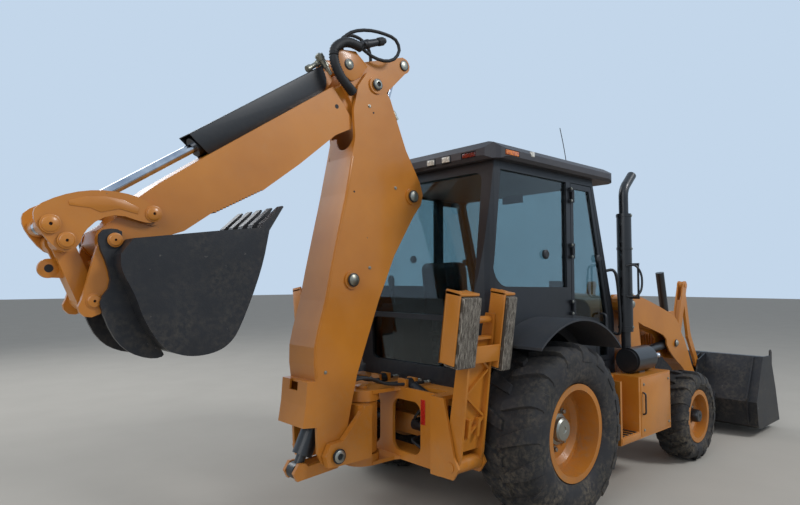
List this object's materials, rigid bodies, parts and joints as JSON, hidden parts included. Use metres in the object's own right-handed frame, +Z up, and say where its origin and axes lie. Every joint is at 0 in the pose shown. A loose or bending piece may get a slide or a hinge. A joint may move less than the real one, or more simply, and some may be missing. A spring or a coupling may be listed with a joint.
{
  "type": "backhoe_loader",
  "caption": "Backhoe loader with a front loader bucket, a cab, an extending backhoe with curved boom and toothed bucket, and two raised stabilisers.",
  "frame": {"origin": "middle of the whole machine's box, on the ground under the wheels", "axes": "+X ahead, towards the loader bucket; +Y to the machine's left; +Z up"},
  "size_m": [7.2611, 2.36, 3.3647],
  "materials": {
    "orange_paint": "gloss, slightly dusty",
    "black_paint": "satin",
    "rod_steel": "polished",
    "tyre": "matte",
    "glass": "tinted, clear",
    "roof_plastic": "textured",
    "seat_fabric": "woven",
    "cast_iron": "rough",
    "lamp_lens": "clear lens"
  },
  "bodies": {
    "machine": {"chassis_frame": "orange_paint", "rear_axle": "black_paint", "front_axle": "orange_paint", "engine_block": "cast_iron", "rear_frame": "orange_paint", "side_boxes": "orange_paint", "cab_frame": "black_paint", "cab_roof": "roof_plastic", "cab_glass": "glass", "fenders": "black_paint", "cab_interior": "seat_fabric", "exhaust": "black_paint", "lamps": "lamp_lens", "swing_cylinders": "black_paint"},
    "hood": {"hood": "orange_paint", "grille": "black_paint"},
    "door_left": {"door_left": "black_paint", "door_left_glass": "glass"},
    "steering_left": {"knuckle_left": "black_paint"},
    "front_wheel_left": {"front_tyre_left": "tyre", "front_rim_left": "orange_paint"},
    "rear_wheel_left": {"rear_tyre_left": "tyre", "rear_rim_left": "orange_paint"},
    "door_right": {"door_right": "black_paint", "door_right_glass": "glass"},
    "steering_right": {"knuckle_right": "black_paint"},
    "front_wheel_right": {"front_tyre_right": "tyre", "front_rim_right": "orange_paint"},
    "rear_wheel_right": {"rear_tyre_right": "tyre", "rear_rim_right": "orange_paint"},
    "swing_post": {"swing_post": "orange_paint"},
    "boom": {"boom": "orange_paint"},
    "boom_barrel": {"boom_barrel": "black_paint"},
    "boom_rod": {"boom_rod": "rod_steel"},
    "dipper": {"dipper": "orange_paint"},
    "dipper_arm": {"dipper_arm": "orange_paint"},
    "dipper_barrel": {"dipper_barrel": "black_paint"},
    "dipper_rod": {"dipper_rod": "rod_steel"},
    "bucket_barrel": {"bucket_barrel": "black_paint"},
    "bucket_rod": {"bucket_rod": "rod_steel"},
    "guide_links": {"guide_links": "orange_paint"},
    "bucket_link": {"bucket_link": "orange_paint"},
    "hoe_bucket": {"hoe_bucket": "black_paint", "coupler": "orange_paint"},
    "loader_arms": {"loader_arms": "orange_paint"},
    "lift_barrels": {"lift_barrels": "black_paint"},
    "lift_rods": {"lift_rods": "rod_steel"},
    "tilt_levers": {"tilt_levers": "orange_paint"},
    "tilt_links": {"tilt_links": "orange_paint"},
    "tilt_barrels": {"tilt_barrels": "black_paint"},
    "tilt_rods": {"tilt_rods": "rod_steel"},
    "loader_bucket": {"loader_bucket": "black_paint"},
    "stabiliser_left": {"stabiliser_left": "orange_paint"},
    "pad_left": {"pad_left": "orange_paint"},
    "stabiliser_barrel_left": {"stabiliser_barrel_left": "black_paint"},
    "stabiliser_rod_left": {"stabiliser_rod_left": "rod_steel"},
    "stabiliser_right": {"stabiliser_right": "orange_paint"},
    "pad_right": {"pad_right": "orange_paint"},
    "stabiliser_barrel_right": {"stabiliser_barrel_right": "black_paint"},
    "stabiliser_rod_right": {"stabiliser_rod_right": "rod_steel"}
  },
  "joints": [
    {"name": "hood_tilt", "type": "hinge", "parent": "machine", "child": "hood", "pos_m": [2.3394, 0, 0.905], "axis": [0, 1, 0], "range_deg": [0, 55]},
    {"name": "door_left_swing", "type": "hinge", "parent": "machine", "child": "door_left", "pos_m": [-0.0156, 0.763, 1.7], "axis": [0, 0, 1], "range_deg": [0, 80]},
    {"name": "door_right_swing", "type": "hinge", "parent": "machine", "child": "door_right", "pos_m": [-0.0156, -0.763, 1.7], "axis": [0, 0, -1], "range_deg": [0, 80]},
    {"name": "steer_left", "type": "hinge", "parent": "machine", "child": "steering_left", "pos_m": [1.6704, 0.8, 0.412], "axis": [0, 0, 1], "range_deg": [-40, 40]},
    {"name": "front_roll_left", "type": "hinge", "parent": "steering_left", "child": "front_wheel_left", "pos_m": [1.6704, 0.92, 0.412], "axis": [0, 1, 0], "continuous": true},
    {"name": "rear_roll_left", "type": "hinge", "parent": "machine", "child": "rear_wheel_left", "pos_m": [-0.4756, 0.85, 0.625], "axis": [0, 1, 0], "continuous": true},
    {"name": "steer_right", "type": "hinge", "parent": "machine", "child": "steering_right", "pos_m": [1.6704, -0.8, 0.412], "axis": [0, 0, 1], "range_deg": [-40, 40]},
    {"name": "front_roll_right", "type": "hinge", "parent": "steering_right", "child": "front_wheel_right", "pos_m": [1.6704, -0.92, 0.412], "axis": [0, 1, 0], "continuous": true},
    {"name": "rear_roll_right", "type": "hinge", "parent": "machine", "child": "rear_wheel_right", "pos_m": [-0.4756, -0.85, 0.625], "axis": [0, 1, 0], "continuous": true},
    {"name": "swing", "type": "hinge", "parent": "machine", "child": "swing_post", "pos_m": [-1.5756, 0, 0.675], "axis": [0, 0, 1], "range_deg": [-90, 90]},
    {"name": "boom_lift", "type": "hinge", "parent": "swing_post", "child": "boom", "pos_m": [-1.9156, 0, 0.566], "axis": [0, 1, 0], "range_deg": [-125, 0]},
    {"name": "dipper_crowd", "type": "hinge", "parent": "boom", "child": "dipper", "pos_m": [-1.56676, 0, 3.07991], "axis": [0, 1, 0], "range_deg": [0, 115]},
    {"name": "dipper_extend", "type": "slide", "parent": "dipper", "child": "dipper_arm", "axis": [-0.8225, 0, -0.5687], "range_m": [0, 1.07]},
    {"name": "bucket_curl", "type": "hinge", "parent": "dipper_arm", "child": "hoe_bucket", "pos_m": [-3.2834, 0, 1.89302], "axis": [0, 1, 0], "range_deg": [0, 150]},
    {"name": "guide_turn", "type": "hinge", "parent": "dipper_arm", "child": "guide_links", "pos_m": [-3.08592, 0, 2.04172], "axis": [0, 1, 0], "range_deg": [-0.5, 97.36]},
    {"name": "bucket_link_turn", "type": "hinge", "parent": "guide_links", "child": "bucket_link", "pos_m": [-3.4894, 0, 1.88302], "axis": [0, 1, 0], "range_deg": [-41.37, 0.5]},
    {"name": "boom_barrel_turn", "type": "hinge", "parent": "swing_post", "child": "boom_barrel", "pos_m": [-2.1056, 0, 0.47], "axis": [0, 1, 0], "range_deg": [-125.7, 0.5]},
    {"name": "boom_rod_slide", "type": "slide", "parent": "boom_barrel", "child": "boom_rod", "axis": [0.433, 0, 0.9014], "range_m": [-0.40264, 0.003]},
    {"name": "dipper_barrel_turn", "type": "hinge", "parent": "boom", "child": "dipper_barrel", "pos_m": [-1.77377, 0, 1.69724], "axis": [0, 1, 0], "range_deg": [-0.5, 3.65]},
    {"name": "dipper_rod_slide", "type": "slide", "parent": "dipper_barrel", "child": "dipper_rod", "axis": [0.2989, 0, 0.9543], "range_m": [-0.62905, 0.003]},
    {"name": "bucket_barrel_turn", "type": "hinge", "parent": "dipper_arm", "child": "bucket_barrel", "pos_m": [-1.92442, 0, 3.0697], "axis": [0, 1, 0], "range_deg": [-0.5, 13.04]},
    {"name": "bucket_rod_slide", "type": "slide", "parent": "bucket_barrel", "child": "bucket_rod", "axis": [-0.827, 0, -0.5623], "range_m": [-0.64419, 0.003]},
    {"name": "stabiliser_left_lower", "type": "hinge", "parent": "machine", "child": "stabiliser_left", "pos_m": [-1.2606, 0.7, 0.5], "axis": [-1, 0, 0], "range_deg": [0, 107]},
    {"name": "pad_left_tilt", "type": "hinge", "parent": "stabiliser_left", "child": "pad_left", "pos_m": [-1.2606, 0.83221, 1.44075], "axis": [-1, 0, 0], "range_deg": [-30, 3]},
    {"name": "stabiliser_barrel_left_turn", "type": "hinge", "parent": "machine", "child": "stabiliser_barrel_left", "pos_m": [-1.2606, 0.15, 0.945], "axis": [-1, 0, 0], "range_deg": [-0.5, 9.72]},
    {"name": "stabiliser_rod_left_slide", "type": "slide", "parent": "stabiliser_barrel_left", "child": "stabiliser_rod_left", "axis": [0, 0.9409, -0.3386], "range_m": [-0.003, 0.4084]},
    {"name": "stabiliser_right_lower", "type": "hinge", "parent": "machine", "child": "stabiliser_right", "pos_m": [-1.2606, -0.7, 0.5], "axis": [1, 0, 0], "range_deg": [0, 107]},
    {"name": "pad_right_tilt", "type": "hinge", "parent": "stabiliser_right", "child": "pad_right", "pos_m": [-1.2606, -0.83221, 1.44075], "axis": [1, 0, 0], "range_deg": [-30, 3]},
    {"name": "stabiliser_barrel_right_turn", "type": "hinge", "parent": "machine", "child": "stabiliser_barrel_right", "pos_m": [-1.2606, -0.15, 0.945], "axis": [1, 0, 0], "range_deg": [-0.5, 9.72]},
    {"name": "stabiliser_rod_right_slide", "type": "slide", "parent": "stabiliser_barrel_right", "child": "stabiliser_rod_right", "axis": [0, -0.9409, -0.3386], "range_m": [-0.003, 0.4084]},
    {"name": "loader_lift", "type": "hinge", "parent": "machine", "child": "loader_arms", "pos_m": [0.9344, 0, 1.48], "axis": [0, -1, 0], "range_deg": [-3, 86]},
    {"name": "lift_barrels_turn", "type": "hinge", "parent": "machine", "child": "lift_barrels", "pos_m": [1.0394, 0, 0.99], "axis": [0, -1, 0], "range_deg": [-3.02, 72.62]},
    {"name": "lift_rods_slide", "type": "slide", "parent": "lift_barrels", "child": "lift_rods", "axis": [0.9967, 0, 0.0807], "range_m": [-0.02543, 0.64605]},
    {"name": "bucket_dump", "type": "hinge", "parent": "loader_arms", "child": "loader_bucket", "pos_m": [2.7844, 0, 0.27], "axis": [0, 1, 0], "range_deg": [-35, 120]},
    {"name": "tilt_levers_turn", "type": "hinge", "parent": "loader_arms", "child": "tilt_levers", "pos_m": [2.3394, 0, 1.03], "axis": [0, 1, 0], "range_deg": [-26.5, 89.64]},
    {"name": "tilt_links_turn", "type": "hinge", "parent": "tilt_levers", "child": "tilt_links", "pos_m": [2.5644, 0, 1.64], "axis": [0, 1, 0], "range_deg": [-82.28, 24.35]},
    {"name": "tilt_barrels_turn", "type": "hinge", "parent": "loader_arms", "child": "tilt_barrels", "pos_m": [2.1094, 0, 1.33], "axis": [0, 1, 0], "range_deg": [-3.08, 9.34]},
    {"name": "tilt_rods_slide", "type": "slide", "parent": "tilt_barrels", "child": "tilt_rods", "axis": [0.227, 0, -0.9739], "range_m": [-0.29756, 0.08891]}
  ],
  "couplings": [
    {"joint": "steer_right", "follows": "steer_left", "ratio": 1},
    {"joint": "guide_turn", "follows": "bucket_curl", "ratio": 0.6457},
    {"joint": "bucket_link_turn", "follows": "bucket_curl", "ratio": -0.27247},
    {"joint": "boom_barrel_turn", "follows": "boom_lift", "ratio": 1.0016},
    {"joint": "boom_rod_slide", "follows": "boom_lift", "m_per_rad": 0.18318},
    {"joint": "dipper_barrel_turn", "follows": "dipper_crowd", "ratio": 0.027377},
    {"joint": "dipper_rod_slide", "follows": "dipper_crowd", "m_per_rad": -0.31191},
    {"joint": "bucket_barrel_turn", "follows": "bucket_curl", "ratio": 0.083633},
    {"joint": "bucket_rod_slide", "follows": "bucket_curl", "m_per_rad": -0.24492},
    {"joint": "stabiliser_barrel_left_turn", "follows": "stabiliser_left_lower", "ratio": 0.086141},
    {"joint": "stabiliser_rod_left_slide", "follows": "stabiliser_left_lower", "m_per_rad": 0.21708},
    {"joint": "stabiliser_barrel_right_turn", "follows": "stabiliser_right_lower", "ratio": 0.086141},
    {"joint": "stabiliser_rod_right_slide", "follows": "stabiliser_right_lower", "m_per_rad": 0.21708},
    {"joint": "lift_barrels_turn", "follows": "loader_lift", "ratio": 0.83861},
    {"joint": "lift_rods_slide", "follows": "loader_lift", "m_per_rad": 0.42842},
    {"joint": "tilt_levers_turn", "follows": "bucket_dump", "ratio": 0.7428},
    {"joint": "tilt_links_turn", "follows": "bucket_dump", "ratio": -0.68146},
    {"joint": "tilt_barrels_turn", "follows": "bucket_dump", "ratio": 0.073702},
    {"joint": "tilt_rods_slide", "follows": "bucket_dump", "m_per_rad": -0.14064}
  ]
}
